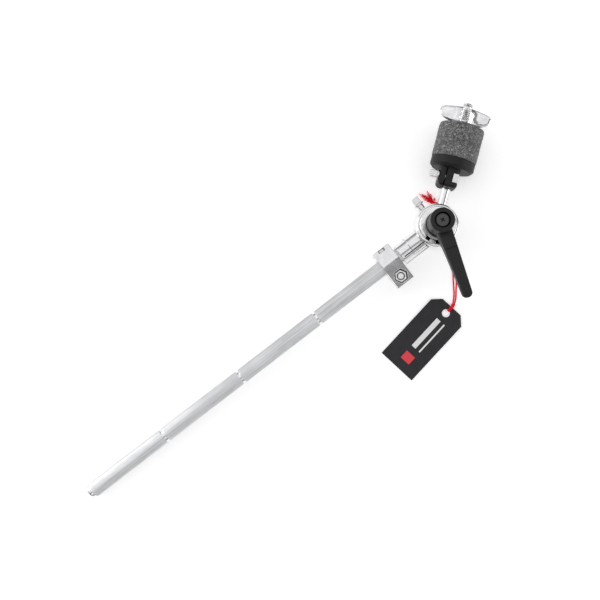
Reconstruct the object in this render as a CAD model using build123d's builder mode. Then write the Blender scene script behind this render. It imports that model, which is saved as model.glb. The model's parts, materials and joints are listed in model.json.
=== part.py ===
"""Cymbal boom arm: knurled boom rod, hinged memory lock, brake tilter with a
ratchet lever, cymbal seat with two felts, wing nut, and a hang tag on a cord.

Design frame: the tilter's pivot is the Z axis, the boom rod lies along -X and
the lever is on the +Z side.  The finished arm is then turned a little, so that
it lies on three points, and its origin goes under the middle of its box.
Lengths are in millimetres, angles in degrees.
"""
from build123d import *
from math import atan, cos, degrees, pi, radians, sin, tan
import os

# ---- boom rod ----
ROD_R = 6.5                 # over the knurl of a half-inch bar
ROD_NOSE_R = 6.2            # polished, without knurl
NOSE_X = -372.0
NOSE_LENGTH = 4.7
NOSE_ROUND = 3.6
KNURL_END_X = NOSE_X + NOSE_LENGTH
ROD_INNER_X = -20.0         # inner end, in the socket
GROOVES = 3
GROOVE_PITCH = 81.5
GROOVE_WIDTH = 2.6
GROOVE_DEPTH = 0.35

# ---- memory lock ----
LOCK_X = -58.0
LOCK_WIDTH = 16.0
LOCK_MID_X = LOCK_X + LOCK_WIDTH / 2
LOCK_BORE_R = ROD_R + 0.05
LOCK_RING_R = 11.2
LOCK_SPLIT = 0.6            # each half stops this far from the parting plane
KNUCKLE_Y = 10.8
KNUCKLE_R = 2.6
KNUCKLE_GAP = 0.3
LUG_OUTER_Y = 13.6           # each half's lug over the hinge
LUG_INNER_Y = 6.0
LUG_HEIGHT = 8.6
LUG_POCKET = (6.0, 2.6)      # along and across the rod
LUG_POCKET_DEPTH = 2.4
LOCK_PIN_R = 1.2
EAR_TIP_Y = -22.1
EAR_ROOT_Y = -13.0
EAR_FRONT_Z = 8.6
EAR_BACK_Z = 7.0
LOCK_BOLT_Y = -15.0
LOCK_NUT_AF = 8.8
LOCK_NUT_PLAY = 1.0         # on each side, in its pocket
LOCK_NUT_Z = 2.2
LOCK_NUT_HEIGHT = 4.8

# ---- screws that a drum key turns ----
KEY_AF = 6.0
KEY_LENGTH = 6.3
KEY_COLLAR_R = 4.3
KEY_COLLAR = 1.2
M5_R = 2.45
M6_R = 2.95
SCREW_PLAY = 0.08           # radial, between a screw and its hole

# ---- tilter ----
SOCKET_X = -39.5
NECK_STEP_X = -29.2
NECK_R = 8.7
NECK_ROOT_R = 9.3
NECK_INNER_X = -14.0
RIB_OUTER_Y = -10.4
RIB_INNER_Y = -4.5
RIB_HALF_HEIGHT = 5.2
SLIT_WIDTH = 0.9
SLIT_END_X = -18.5
SOCKET_PIN_X = SOCKET_X + 8.0
SOCKET_PIN_R = 1.5
DRUM_R = 18.6
DRUM_BACK_Z = -13.0
DRUM_FRONT_Z = 12.0
DRUM_RIM_ROUND = 3.0
CAVITY_R = 13.0
CAVITY_FLOOR_Z = -10.4
PIVOT_R = 4.0
PIVOT_HEAD_AF = 13.0
PIVOT_TOP_Z = 28.0
ROTOR_R = 12.7
ROTOR_BACK_Z = -9.1
FLANGE_R = 15.4
FLANGE_Z = 13.8
FLANGE_TOP_Z = 16.6
BRAKE_R = 15.5
BRAKE_INNER_R = 13.1
BRAKE_TOP_Z = 13.5
BRAKE_NOTCHES = 10
BRAKE_TOOTH_ANGLE = 213.8   # a tooth stands in the flange's cut-away
BRAKE_NOTCH_ANGLE = 18.0    # from the notch's middle to the tooth beside it
BRAKE_NOTCH = (3.0, 3.9)    # along and across the spoke
BRAKE_NOTCH_DEPTH = 1.3
NOTCH_HALF_ANGLE = 34.0     # of the cut-away in the flange, opposite the tilter rod
TILT = 37.5                 # tilter rod at rest, from the boom's own direction
TILT_DOWN = 107.0           # travel from rest towards the lever's side
TILT_UP = 14.5              # travel from rest towards the rim's key bolt
TILT_ROD_R = 4.0
TILT_ROD_INNER = 5.6
TILT_ROD_TOP = 108.6
SLOT_SPREAD = 18.6          # half the angle that the rod fills in its slot
SLOT_HALF_HEIGHT = 4.5
RIM_KEY_SEAT = 23.1         # collar of the rim's key bolt, from the pivot

# ---- ratchet lever ----
LEVER_ANGLE = -108.9
HUB_BASE_Z = 18.4
LEVER_BASE_Z = 20.7
LEVER_TOP_Z = 46.0
LEVER_HEAD_R = 10.0
LEVER_REACH = 61.2
LEVER_TIP_R = 4.1
LEVER_ROOT_R = 6.5
LEVER_PARALLEL = 47.0       # from here to the tip the arm is as wide as its tip
LEVER_LINE = 23.0           # shallow groove across the arm
LEVER_LINE_WIDTH = 0.8
INSERT_TOP_Z = 32.8
INSERT_R = 6.3
INSERT_TEETH = 20
WEB_Z = 33.2
WEB_THICKNESS = 2.0
RECESS_R = 6.4
LEVER_SCREW_R = 5.7
LEVER_SCREW_Z = 42.0
LEVER_SCREW_HEIGHT = 3.0
LEVER_LIFT = 3.2

# ---- cymbal seat, along the tilter rod ----
SEAT_BASE = 33.6
CUP_BASE = 49.6
CUP_TOP = 58.2
CUP_R = 18.8
CUP_CHAMFER = 2.2
BOSS_LEFT = 9.7
BOSS_RIGHT = 7.3
BOSS_BACK = 8.0
BOSS_FRONT = 12.4
BOSS_CORNER_ROUND = 4.2     # at the foot, on the key bolt's side
SEAT_BORE_R = TILT_ROD_R + 0.08
SLEEVE_R = 5.6
SLEEVE_TOP = 86.6
SEAT_SLIT_X = 3.6
SEAT_SLIT_WIDTH = 1.0
SEAT_BOLT_AT = 41.7
SEAT_BOLT_HEIGHT = 8.2
SEAT_NUT_X = -6.8
SEAT_NUT_AF = 8.0
SEAT_NUT_THICKNESS = 4.6
FELT_R = 19.25
FELT_HOLE_R = 5.95
FELT_ROUND = 1.2
FELT_THICKNESS = 14.3
FELT_GAP = 0.3
WASHER_R = 11.0
WASHER_THICKNESS = 1.6
WING_SPAN = 22.3
WING_BOSS_R = 6.2
WING_THICKNESS = 3.0
WING_NUT_HEIGHT = 17.7

# ---- tag and its cord, in the finished frame, on the surface under the arm ----
TAG_LENGTH = 70.0
TAG_WIDTH = 35.0
TAG_THICKNESS = 0.8
TAG_CHAMFER = 7.0
TAG_HOLE_R = 3.5
TAG_HOLE_INSET = 7.3
TAG_CENTRE = (76.05, -76.35)
TAG_TURN = 9.6
TAG_RAISED = 1.25           # the hole end lies on the cord
CORD_R = 0.65
CORD_Z = CORD_R
RIGHT_STRAND = [            # from the knot to the hitch
    (150.8, 4.5), (151.8, -7.8), (147.9, -24.3), (139.7, -39.8), (129.8, -53.3),
    (122.2, -62.1), (118.6, -66.6), (115.5, -69.1), (112.9, -70.9),
]
LEFT_STRAND = [
    (149.1, 5.8), (150.1, -7.3), (146.0, -23.1), (137.2, -37.3), (130.5, -47.3),
    (125.3, -54.3), (120.9, -60.9), (117.4, -65.3), (114.6, -67.8), (112.8, -69.3),
]
KNOT_AT = (150.1, 5.3)
KNOT_R = 2.1
TUFT_OUTLINE = [
    (150.9, 6.7), (147.3, 13.2), (148.5, 22.9), (151.9, 22.1), (155.9, 20.9),
    (158.5, 13.2), (158.5, 6.7),
]
TUFT_HEIGHT = 3.0
HITCH_WIDTH = 2.8
HITCH_END = 2.6             # how far the hitch stands out past the tag's edge

LOWER_FELT_AT = CUP_TOP + FELT_GAP
UPPER_FELT_AT = LOWER_FELT_AT + FELT_THICKNESS + FELT_GAP
WASHER_AT = UPPER_FELT_AT + FELT_THICKNESS + FELT_GAP
WING_NUT_AT = WASHER_AT + WASHER_THICKNESS + FELT_GAP

# ---- how the arm lies: on the knurl's end, the pivot bolt's head and a felt ----
FELT_FOOT_X = (LOWER_FELT_AT + FELT_ROUND) * cos(radians(TILT))
SLOPE = (FELT_R - ROD_R) / (FELT_FOOT_X - KNURL_END_X)
PIVOT_HEAD_Z = -(ROD_R + SLOPE * (-PIVOT_HEAD_AF / 2 - KNURL_END_X))


def spoke(angle, distance=0.0, height=0.0):
    """Plane square to a spoke of the pivot: x to the spoke's left, y up, z outwards."""
    east, north = cos(radians(angle)), sin(radians(angle))
    return Plane(
        origin=(distance * east, distance * north, height),
        x_dir=(-north, east, 0),
        z_dir=(east, north, 0),
    )


def upright(angle):
    """Plane through the pivot's axis: x along the spoke, y up."""
    east, north = cos(radians(angle)), sin(radians(angle))
    return Plane(origin=(0, 0, 0), x_dir=(east, north, 0), z_dir=(north, -east, 0))


SEAT_AXIS = Axis((0, 0, 0), spoke(TILT).z_dir)
SEAT_PLAN = Plane(origin=(0, 0, 0), x_dir=spoke(TILT).x_dir, z_dir=(0, 0, -1))
SEAT_BOLT_SPOT = spoke(TILT, SEAT_BOLT_AT, SEAT_BOLT_HEIGHT)
SEAT_BOLT_COLLAR = Plane(
    origin=SEAT_BOLT_SPOT.from_local_coords((BOSS_LEFT, 0, 0)),
    x_dir=SEAT_BOLT_SPOT.z_dir,
    z_dir=SEAT_BOLT_SPOT.x_dir,
)
LOCK_BOLT_COLLAR = Plane(
    origin=(LOCK_MID_X, LOCK_BOLT_Y, -EAR_BACK_Z), x_dir=(1, 0, 0), z_dir=(0, 0, -1)
)
LEVER_PLAN = Plane(origin=(0, 0, 0), x_dir=upright(LEVER_ANGLE).x_dir, z_dir=(0, 0, 1))


def key_bolt(collar, thread_r, thread_length):
    """Square-headed screw; collar is the plane under its collar, facing the head."""
    along = Axis(collar.origin, collar.z_dir)
    with BuildPart() as screw:
        with BuildSketch(collar.offset(-thread_length)):
            Circle(thread_r)
        extrude(amount=thread_length)
        chamfer(screw.edges().sort_by(along)[0], 0.6)
        with BuildSketch(collar):
            Circle(KEY_COLLAR_R)
        extrude(amount=KEY_COLLAR)
        with BuildSketch(collar.offset(KEY_COLLAR)):
            RectangleRounded(KEY_AF, KEY_AF, 0.7)
        extrude(amount=KEY_LENGTH)
        chamfer(screw.faces().sort_by(along)[-1].edges(), 0.5)
    return screw


def felt_washer(base):
    """Felt washer with softened outer edges."""
    with BuildPart() as felt:
        with BuildSketch(spoke(TILT, base)):
            Circle(FELT_R)
        extrude(amount=FELT_THICKNESS)
        fillet(felt.edges().filter_by(GeomType.CIRCLE), FELT_ROUND)
        with BuildSketch(spoke(TILT, base)):
            Circle(FELT_HOLE_R)
        extrude(amount=FELT_THICKNESS, mode=Mode.SUBTRACT)
    return felt


def lock_half(side, ear_z, knuckle_x, pockets):
    """Half of the hinged clamp; side is +1 in front of the rod, with the pockets, and -1 behind."""
    other_x = 2 * LOCK_MID_X - LOCK_WIDTH / 2 - knuckle_x
    with BuildPart() as half:
        with BuildSketch(Plane.YZ.offset(LOCK_X)) as profile:
            Circle(LOCK_RING_R)
            with Locations(((EAR_TIP_Y + EAR_ROOT_Y) / 2, side * ear_z / 2)):
                Rectangle(EAR_ROOT_Y - EAR_TIP_Y, ear_z)
            with Locations(((LUG_INNER_Y + LUG_OUTER_Y) / 2, side * LUG_HEIGHT / 2)):
                Rectangle(LUG_OUTER_Y - LUG_INNER_Y, LUG_HEIGHT)
            make_hull(profile.edges())
            with Locations((0, -side * LOCK_RING_R)):
                Rectangle(80, 2 * (LOCK_RING_R + LOCK_SPLIT), mode=Mode.SUBTRACT)
            Circle(LOCK_BORE_R, mode=Mode.SUBTRACT)
        extrude(amount=LOCK_WIDTH)
        with BuildSketch(Plane.YZ.offset(other_x - KNUCKLE_GAP / 2)):
            with Locations((KNUCKLE_Y, 0)):
                Circle(KNUCKLE_R + KNUCKLE_GAP)
        extrude(amount=LOCK_WIDTH / 2 + KNUCKLE_GAP, mode=Mode.SUBTRACT)
        with BuildSketch(Plane.YZ.offset(knuckle_x)):
            with Locations((KNUCKLE_Y, 0)):
                Circle(KNUCKLE_R)
        extrude(amount=LOCK_WIDTH / 2 - KNUCKLE_GAP / 2)
        with BuildSketch(Plane.YZ.offset(LOCK_X)):
            with Locations((KNUCKLE_Y, 0)):
                Circle(LOCK_PIN_R + SCREW_PLAY)
        extrude(amount=LOCK_WIDTH, mode=Mode.SUBTRACT)
        with BuildSketch(Plane.XY):
            with Locations((LOCK_MID_X, LOCK_BOLT_Y)):
                Circle(M6_R + SCREW_PLAY)
        extrude(amount=side * (ear_z + 2), mode=Mode.SUBTRACT)
        with BuildSketch(Plane.XY.offset(side * ear_z)):
            with Locations((LOCK_MID_X, LOCK_BOLT_Y)):
                Circle(KEY_COLLAR_R + 0.3)
        extrude(amount=side * LOCK_RING_R, mode=Mode.SUBTRACT)
        if pockets:
            with BuildSketch(Plane.XY.offset(LOCK_NUT_Z)):
                with Locations((LOCK_MID_X, LOCK_BOLT_Y)):
                    RegularPolygon(LOCK_NUT_AF / 2 + LOCK_NUT_PLAY, 6, major_radius=False)
            extrude(amount=ear_z, mode=Mode.SUBTRACT)
            with BuildSketch(Plane.XY.offset(LUG_HEIGHT - LUG_POCKET_DEPTH)):
                with Locations((LOCK_MID_X, LUG_OUTER_Y - LUG_POCKET[1] / 2 - 0.6)):
                    Rectangle(*LUG_POCKET)
            extrude(amount=LUG_HEIGHT, mode=Mode.SUBTRACT)
    return half


def corner_radii(route):
    """Radius of each corner's arc: 0.45 of the shorter run over the half turn's tangent."""
    radii = []
    for before, corner, after in zip(route, route[1:], route[2:]):
        arriving = Vector(*corner) - Vector(*before)
        leaving = Vector(*after) - Vector(*corner)
        half_turn = radians(arriving.get_angle(leaving)) / 2
        radii.append(0.45 * min(arriving.length, leaving.length) / tan(half_turn))
    return radii


def cord_strand(route):
    """Round cord along straight runs joined by tangent arcs, lying on the surface."""
    points = [(x, y, CORD_Z) for x, y in route]
    with BuildPart() as strand:
        with BuildLine() as path:
            FilletPolyline(*points, radius=corner_radii(points))
        with BuildSketch(path.wire() ^ 0):
            Circle(CORD_R)
        sweep()
    length = path.wire().length
    section = pi * CORD_R**2
    print("cord length", round(length, 1), "volume ratio", strand.part.volume / length / section)
    print("cord radii", [round(radius, 1) for radius in corner_radii(points)])
    return strand


# ---------------------------------------------------------------- boom rod
with BuildPart() as boom_rod:
    with BuildSketch(Plane.YZ.offset(NOSE_X)):
        Circle(ROD_NOSE_R)
    extrude(amount=NOSE_LENGTH)
    fillet(boom_rod.edges().sort_by(Axis.X)[0], NOSE_ROUND)
    with BuildSketch(Plane.YZ.offset(KNURL_END_X)):
        Circle(ROD_R)
    extrude(amount=ROD_INNER_X - KNURL_END_X)
    for number in range(1, GROOVES + 1):
        groove_x = NOSE_X + number * GROOVE_PITCH - GROOVE_WIDTH / 2
        with BuildSketch(Plane.YZ.offset(groove_x)):
            Circle(ROD_R + 1)
            Circle(ROD_R - GROOVE_DEPTH, mode=Mode.SUBTRACT)
        extrude(amount=GROOVE_WIDTH, mode=Mode.SUBTRACT)
    with BuildSketch(Plane.XY.offset(-NECK_ROOT_R)):
        with Locations((SOCKET_PIN_X, 0)):
            Circle(SOCKET_PIN_R)
    extrude(amount=NECK_ROOT_R + 3, mode=Mode.SUBTRACT)

with BuildPart() as socket_pin:
    with BuildSketch(Plane.XY.offset(-NECK_R + 0.5)):
        with Locations((SOCKET_PIN_X, 0)):
            Circle(SOCKET_PIN_R)
            Circle(SOCKET_PIN_R - 0.5, mode=Mode.SUBTRACT)
    extrude(amount=NECK_R + 2)

# ------------------------------------------------------------- memory lock
memory_lock_front = lock_half(1, EAR_FRONT_Z, LOCK_X, True)
memory_lock_back = lock_half(-1, EAR_BACK_Z, LOCK_MID_X, False)

with BuildPart() as memory_lock_pin:
    with BuildSketch(Plane.YZ.offset(LOCK_X + 0.3)):
        with Locations((KNUCKLE_Y, 0)):
            Circle(LOCK_PIN_R)
    extrude(amount=LOCK_WIDTH - 0.6)

with BuildPart() as memory_lock_nut:
    with BuildSketch(Plane.XY.offset(LOCK_NUT_Z)):
        with Locations((LOCK_MID_X, LOCK_BOLT_Y)):
            RegularPolygon(LOCK_NUT_AF / 2, 6, major_radius=False)
            Circle(M6_R + SCREW_PLAY, mode=Mode.SUBTRACT)
    extrude(amount=LOCK_NUT_HEIGHT)
    chamfer(memory_lock_nut.edges().filter_by(GeomType.CIRCLE).sort_by(Axis.Z)[-1], 0.5)

memory_lock_bolt = key_bolt(
    LOCK_BOLT_COLLAR, M6_R, EAR_BACK_Z + LOCK_NUT_Z + LOCK_NUT_HEIGHT + 0.6
)

# ------------------------------------------------------------------ tilter
with BuildPart() as tilter_body:
    with BuildSketch(Plane.XY.offset(DRUM_BACK_Z)):
        Circle(DRUM_R)
    extrude(amount=DRUM_FRONT_Z - DRUM_BACK_Z)
    fillet(tilter_body.edges().sort_by(Axis.Z)[-1], DRUM_RIM_ROUND)
    fillet(tilter_body.edges().sort_by(Axis.Z)[0], DRUM_RIM_ROUND / 2)
    with BuildSketch(Plane.YZ.offset(SOCKET_X)):
        Circle(NECK_R)
    extrude(amount=NECK_STEP_X - SOCKET_X)
    with BuildSketch(Plane.YZ.offset(NECK_STEP_X)):
        Circle(NECK_ROOT_R)
    extrude(amount=NECK_INNER_X - NECK_STEP_X)
    with BuildSketch(Plane.YZ.offset(SOCKET_X)):
        with Locations(((RIB_OUTER_Y + RIB_INNER_Y) / 2, 0)):
            RectangleRounded(RIB_INNER_Y - RIB_OUTER_Y, 2 * RIB_HALF_HEIGHT, 1.0)
    extrude(amount=NECK_INNER_X - SOCKET_X)
    with BuildSketch(Plane.XY.offset(CAVITY_FLOOR_Z)):
        Circle(CAVITY_R)
    extrude(amount=DRUM_FRONT_Z - CAVITY_FLOOR_Z, mode=Mode.SUBTRACT)
    with BuildSketch(Plane.XY.offset(DRUM_BACK_Z)):
        Circle(PIVOT_R + SCREW_PLAY)
    extrude(amount=CAVITY_R, mode=Mode.SUBTRACT)
    with BuildSketch(Plane.YZ.offset(SOCKET_X)):
        Circle(ROD_R)
    extrude(amount=ROD_INNER_X - SOCKET_X, mode=Mode.SUBTRACT)
    with BuildSketch(Plane.XY.offset(-NECK_ROOT_R)):
        with Locations((SOCKET_PIN_X, 0)):
            Circle(SOCKET_PIN_R)
    extrude(amount=NECK_ROOT_R, mode=Mode.SUBTRACT)
    slit_length = SLIT_END_X - SOCKET_X
    with BuildSketch(Plane.XY.offset(RIB_HALF_HEIGHT)):
        with Locations((SOCKET_X + 2 + slit_length / 2, RIB_INNER_Y + SLIT_WIDTH / 2)):
            Rectangle(slit_length, SLIT_WIDTH)
    extrude(amount=NECK_R, mode=Mode.SUBTRACT)
    with BuildSketch(upright(TILT - TILT_DOWN - SLOT_SPREAD)):
        with Locations((CAVITY_R + 5, 0)):
            Rectangle(12, 2 * SLOT_HALF_HEIGHT)
    revolve(
        axis=Axis.Z, revolution_arc=TILT_DOWN + TILT_UP + 2 * SLOT_SPREAD, mode=Mode.SUBTRACT
    )
    with BuildSketch(spoke(90, CAVITY_R - 2)):
        Circle(M6_R + SCREW_PLAY)
    extrude(amount=DRUM_R, mode=Mode.SUBTRACT)

with BuildPart() as brake_disc:
    with BuildSketch(Plane.XY.offset(CAVITY_FLOOR_Z)):
        Circle(CAVITY_R - 0.4)
        Circle(PIVOT_R + 0.4, mode=Mode.SUBTRACT)
    extrude(amount=1.0)

with BuildPart() as brake_ring:
    with BuildSketch(Plane.XY.offset(DRUM_FRONT_Z)):
        Circle(BRAKE_R)
        Circle(BRAKE_INNER_R, mode=Mode.SUBTRACT)
    extrude(amount=BRAKE_TOP_Z - DRUM_FRONT_Z)
    with BuildSketch(Plane.XY.offset(BRAKE_TOP_Z - BRAKE_NOTCH_DEPTH)):
        with PolarLocations(
            BRAKE_R - 1.2, BRAKE_NOTCHES, start_angle=BRAKE_TOOTH_ANGLE - BRAKE_NOTCH_ANGLE
        ):
            Rectangle(*BRAKE_NOTCH)
    extrude(amount=BRAKE_NOTCH_DEPTH, mode=Mode.SUBTRACT)

with BuildPart() as tilter_rotor:
    with BuildSketch(Plane.XY.offset(ROTOR_BACK_Z)):
        Circle(ROTOR_R)
    extrude(amount=FLANGE_Z - ROTOR_BACK_Z)
    with BuildSketch(Plane.XY.offset(FLANGE_Z)):
        Circle(FLANGE_R)
    extrude(amount=FLANGE_TOP_Z - FLANGE_Z)
    fillet(tilter_rotor.edges().sort_by(Axis.Z)[-1], 1.0)
    with BuildSketch(upright(TILT + 180 - NOTCH_HALF_ANGLE)):
        with Locations((ROTOR_R + 3.2, FLANGE_TOP_Z)):
            Rectangle(8, 2 * (FLANGE_TOP_Z - FLANGE_Z))
    revolve(axis=Axis.Z, revolution_arc=2 * NOTCH_HALF_ANGLE, mode=Mode.SUBTRACT)
    with BuildSketch(Plane.XY.offset(ROTOR_BACK_Z)):
        Circle(PIVOT_R + 0.3)
    extrude(amount=FLANGE_TOP_Z - ROTOR_BACK_Z, mode=Mode.SUBTRACT)
    with BuildSketch(spoke(TILT, TILT_ROD_INNER)):
        Circle(TILT_ROD_R)
    extrude(amount=ROTOR_R, mode=Mode.SUBTRACT)

with BuildPart() as tilter_rod:
    with BuildSketch(spoke(TILT, TILT_ROD_INNER)):
        Circle(TILT_ROD_R)
    extrude(amount=TILT_ROD_TOP - TILT_ROD_INNER)
    chamfer(tilter_rod.edges().sort_by(SEAT_AXIS)[-1], 0.8)

with BuildPart() as pivot_bolt:
    with BuildSketch(Plane.XY.offset(PIVOT_HEAD_Z)):
        RegularPolygon(PIVOT_HEAD_AF / 2, 6, major_radius=False, rotation=30)
    extrude(amount=DRUM_BACK_Z - PIVOT_HEAD_Z)
    with BuildSketch(Plane.XY.offset(DRUM_BACK_Z)):
        Circle(PIVOT_R)
    extrude(amount=PIVOT_TOP_Z - DRUM_BACK_Z)
    chamfer(pivot_bolt.edges().sort_by(Axis.Z)[-1], 0.8)

with BuildPart() as thrust_washer:
    with BuildSketch(Plane.XY.offset(FLANGE_TOP_Z + 0.3)):
        Circle(LEVER_HEAD_R + 0.8)
        Circle(PIVOT_R + SCREW_PLAY, mode=Mode.SUBTRACT)
    extrude(amount=1.2)

tilter_key_bolt = key_bolt(
    spoke(90, RIM_KEY_SEAT), M6_R, RIM_KEY_SEAT - ROTOR_R - 0.4
)

# ----------------------------------------------------------- ratchet lever
with BuildPart() as lever_insert:
    with BuildSketch(Plane.XY.offset(HUB_BASE_Z)):
        Circle(LEVER_HEAD_R - 1.5)
    extrude(amount=LEVER_BASE_Z - HUB_BASE_Z - 0.3)
    with BuildSketch(Plane.XY.offset(HUB_BASE_Z)):
        Circle(INSERT_R)
    extrude(amount=INSERT_TOP_Z - HUB_BASE_Z)
    with BuildSketch(Plane.XY.offset(INSERT_TOP_Z - LEVER_LIFT)):
        with PolarLocations(INSERT_R, INSERT_TEETH):
            Rectangle(0.9, 0.9, rotation=45)
    extrude(amount=LEVER_LIFT, mode=Mode.SUBTRACT)
    with BuildSketch(Plane.XY.offset(HUB_BASE_Z)):
        Circle(PIVOT_R + SCREW_PLAY)
    extrude(amount=PIVOT_TOP_Z + 0.6 - HUB_BASE_Z, mode=Mode.SUBTRACT)
    with BuildSketch(Plane.XY.offset(PIVOT_TOP_Z)):
        Circle(M5_R)
    extrude(amount=INSERT_TOP_Z - PIVOT_TOP_Z, mode=Mode.SUBTRACT)

with BuildPart() as lever_screw:
    with BuildSketch(Plane.XY.offset(PIVOT_TOP_Z + 1)):
        Circle(M5_R)
    extrude(amount=LEVER_SCREW_Z - PIVOT_TOP_Z - 1)
    with BuildSketch(Plane.XY.offset(LEVER_SCREW_Z)):
        Circle(LEVER_SCREW_R)
    extrude(amount=LEVER_SCREW_HEIGHT)
    fillet(lever_screw.edges().sort_by(Axis.Z)[-1], 1.2)
    with BuildSketch(Plane.XY.offset(LEVER_SCREW_Z + 0.8)):
        Rectangle(3.6, 1.0, rotation=LEVER_ANGLE - 45)
        Rectangle(3.6, 1.0, rotation=LEVER_ANGLE + 45)
    extrude(amount=LEVER_SCREW_HEIGHT, mode=Mode.SUBTRACT)

with BuildPart() as lever_spring:
    with BuildSketch(Plane.XY.offset(WEB_Z + WEB_THICKNESS)):
        Circle(LEVER_SCREW_R - 0.5)
        Circle(M5_R + 1.2, mode=Mode.SUBTRACT)
    extrude(amount=LEVER_SCREW_Z - WEB_Z - WEB_THICKNESS)

with BuildPart() as lever_handle:
    with BuildSketch(LEVER_PLAN) as plan:
        Circle(LEVER_ROOT_R)
        with Locations((LEVER_PARALLEL, 0), (LEVER_REACH, 0)):
            Circle(LEVER_TIP_R)
        make_hull(plan.edges())
    extrude(amount=LEVER_TOP_Z + 10)
    with BuildSketch(upright(LEVER_ANGLE)):
        with BuildLine():
            Polyline(
                (-8, 25.5), (-8, 37.0), (70, 44.0), (70, 37.0), (26, 30.5), (14, 25.5),
                close=True,
            )
        make_face()
    extrude(amount=LEVER_HEAD_R, both=True, mode=Mode.INTERSECT)
    fillet(lever_handle.faces().sort_by(Axis.Z)[-1].edges(), 1.5)
    with BuildSketch(upright(LEVER_ANGLE)):
        with Locations((LEVER_LINE, 40.0)):
            Rectangle(LEVER_LINE_WIDTH, 1.6)
    extrude(amount=LEVER_HEAD_R, both=True, mode=Mode.SUBTRACT)
    with BuildSketch(Plane.XY.offset(LEVER_BASE_Z)):
        Circle(LEVER_HEAD_R)
    extrude(amount=LEVER_TOP_Z - LEVER_BASE_Z)
    fillet(lever_handle.edges().filter_by(GeomType.CIRCLE).sort_by(Axis.Z)[-1], 1.4)
    with BuildSketch(Plane.XY.offset(LEVER_BASE_Z)):
        Circle(INSERT_R + SCREW_PLAY)
    extrude(amount=WEB_Z - LEVER_BASE_Z, mode=Mode.SUBTRACT)
    with BuildSketch(Plane.XY.offset(WEB_Z)):
        Circle(M5_R + 0.3)
    extrude(amount=WEB_THICKNESS, mode=Mode.SUBTRACT)
    with BuildSketch(Plane.XY.offset(WEB_Z + WEB_THICKNESS)):
        Circle(RECESS_R)
    extrude(amount=LEVER_TOP_Z - WEB_Z, mode=Mode.SUBTRACT)

# ------------------------------------------------------------- cymbal seat
with BuildPart() as cymbal_seat:
    with BuildSketch(spoke(TILT, SEAT_BASE)):
        with Locations(((BOSS_LEFT - BOSS_RIGHT) / 2, (BOSS_FRONT - BOSS_BACK) / 2)):
            RectangleRounded(BOSS_LEFT + BOSS_RIGHT, BOSS_FRONT + BOSS_BACK, 3.0)
    extrude(amount=CUP_BASE + 1 - SEAT_BASE)
    chamfer(cymbal_seat.faces().sort_by(SEAT_AXIS)[0].edges(), 1.6)
    with BuildSketch(SEAT_PLAN) as boss_plan:
        with Locations((BOSS_LEFT, SEAT_BASE)):
            Rectangle(
                BOSS_LEFT + BOSS_RIGHT + 1, CUP_BASE + 2 - SEAT_BASE, align=(Align.MAX, Align.MIN)
            )
        fillet(boss_plan.vertices().sort_by_distance((BOSS_LEFT, SEAT_BASE))[0], BOSS_CORNER_ROUND)
    extrude(amount=BOSS_FRONT, both=True, mode=Mode.INTERSECT)
    with BuildSketch(spoke(TILT, CUP_BASE)):
        Circle(CUP_R)
    extrude(amount=CUP_TOP - CUP_BASE)
    cup_edges = cymbal_seat.edges().filter_by(GeomType.CIRCLE).filter_by(
        lambda edge: edge.radius > BOSS_FRONT
    )
    chamfer(cup_edges.sort_by(SEAT_AXIS)[0], CUP_CHAMFER)
    with BuildSketch(spoke(TILT, CUP_TOP)):
        Circle(SLEEVE_R)
    extrude(amount=SLEEVE_TOP - CUP_TOP)
    with BuildSketch(spoke(TILT, SEAT_BASE)):
        Circle(SEAT_BORE_R)
    extrude(amount=SLEEVE_TOP - SEAT_BASE, mode=Mode.SUBTRACT)
    with BuildSketch(spoke(TILT, SEAT_BASE)):
        with Locations((SEAT_SLIT_X + SEAT_SLIT_WIDTH / 2, BOSS_FRONT)):
            Rectangle(SEAT_SLIT_WIDTH, 2 * BOSS_FRONT)
    extrude(amount=CUP_BASE - SEAT_BASE, mode=Mode.SUBTRACT)
    with BuildSketch(spoke(TILT, SEAT_BOLT_AT - SEAT_NUT_AF / 2 - 0.2)):
        with Locations((SEAT_NUT_X, SEAT_BOLT_HEIGHT + SEAT_NUT_AF / 2)):
            Rectangle(2 * SEAT_NUT_THICKNESS + 0.2, 2 * SEAT_NUT_AF + 0.2)
    extrude(amount=SEAT_NUT_AF + 0.4, mode=Mode.SUBTRACT)
    with BuildSketch(SEAT_BOLT_COLLAR):
        Circle(M5_R + SCREW_PLAY)
    extrude(amount=-BOSS_LEFT - BOSS_RIGHT - 1, mode=Mode.SUBTRACT)

seat_key_bolt = key_bolt(SEAT_BOLT_COLLAR, M5_R, BOSS_LEFT + BOSS_RIGHT - 0.6)

with BuildPart() as seat_nut:
    with BuildSketch(SEAT_BOLT_COLLAR.offset(SEAT_NUT_X - BOSS_LEFT)):
        RectangleRounded(SEAT_NUT_AF, SEAT_NUT_AF, 0.5)
        Circle(M5_R + SCREW_PLAY, mode=Mode.SUBTRACT)
    extrude(amount=SEAT_NUT_THICKNESS)

lower_felt = felt_washer(LOWER_FELT_AT)
upper_felt = felt_washer(UPPER_FELT_AT)

with BuildPart() as nut_washer:
    with BuildSketch(spoke(TILT, WASHER_AT)):
        Circle(WASHER_R)
        Circle(SEAT_BORE_R, mode=Mode.SUBTRACT)
    extrude(amount=WASHER_THICKNESS)

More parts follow.
